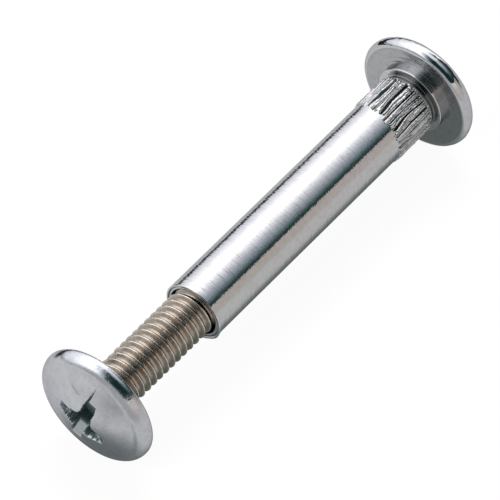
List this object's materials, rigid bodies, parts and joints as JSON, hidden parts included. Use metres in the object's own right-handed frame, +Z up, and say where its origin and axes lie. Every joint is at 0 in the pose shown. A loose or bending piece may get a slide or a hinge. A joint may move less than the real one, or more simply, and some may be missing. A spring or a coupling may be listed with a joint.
{
  "type": "binding barrel screw",
  "caption": "Two-piece through fastener: a threaded screw with a mushroom head runs into a barrel nut with a smooth tube, a knurled neck and a matching domed head.",
  "frame": {"origin": "on the surface under the middle of the fastener as it lies on the rims of both heads, with the screw half closed", "axes": "+X along the common axis, from the screw's head to the barrel nut's head; +Z up from the surface it lies on"},
  "size_m": [0.0424, 0.01, 0.01],
  "materials": {
    "screw_plating": "bright nickel-plated steel",
    "sleeve_plating": "bright nickel-plated steel"
  },
  "bodies": {
    "sleeve": {"sleeve_nut": "sleeve_plating"},
    "screw": {"screw": "screw_plating"}
  },
  "joints": [
    {"name": "screw_travel", "type": "slide", "parent": "sleeve", "child": "screw", "axis": [1, 0, 0], "range_m": [-0.0074, 0.0104]}
  ]
}
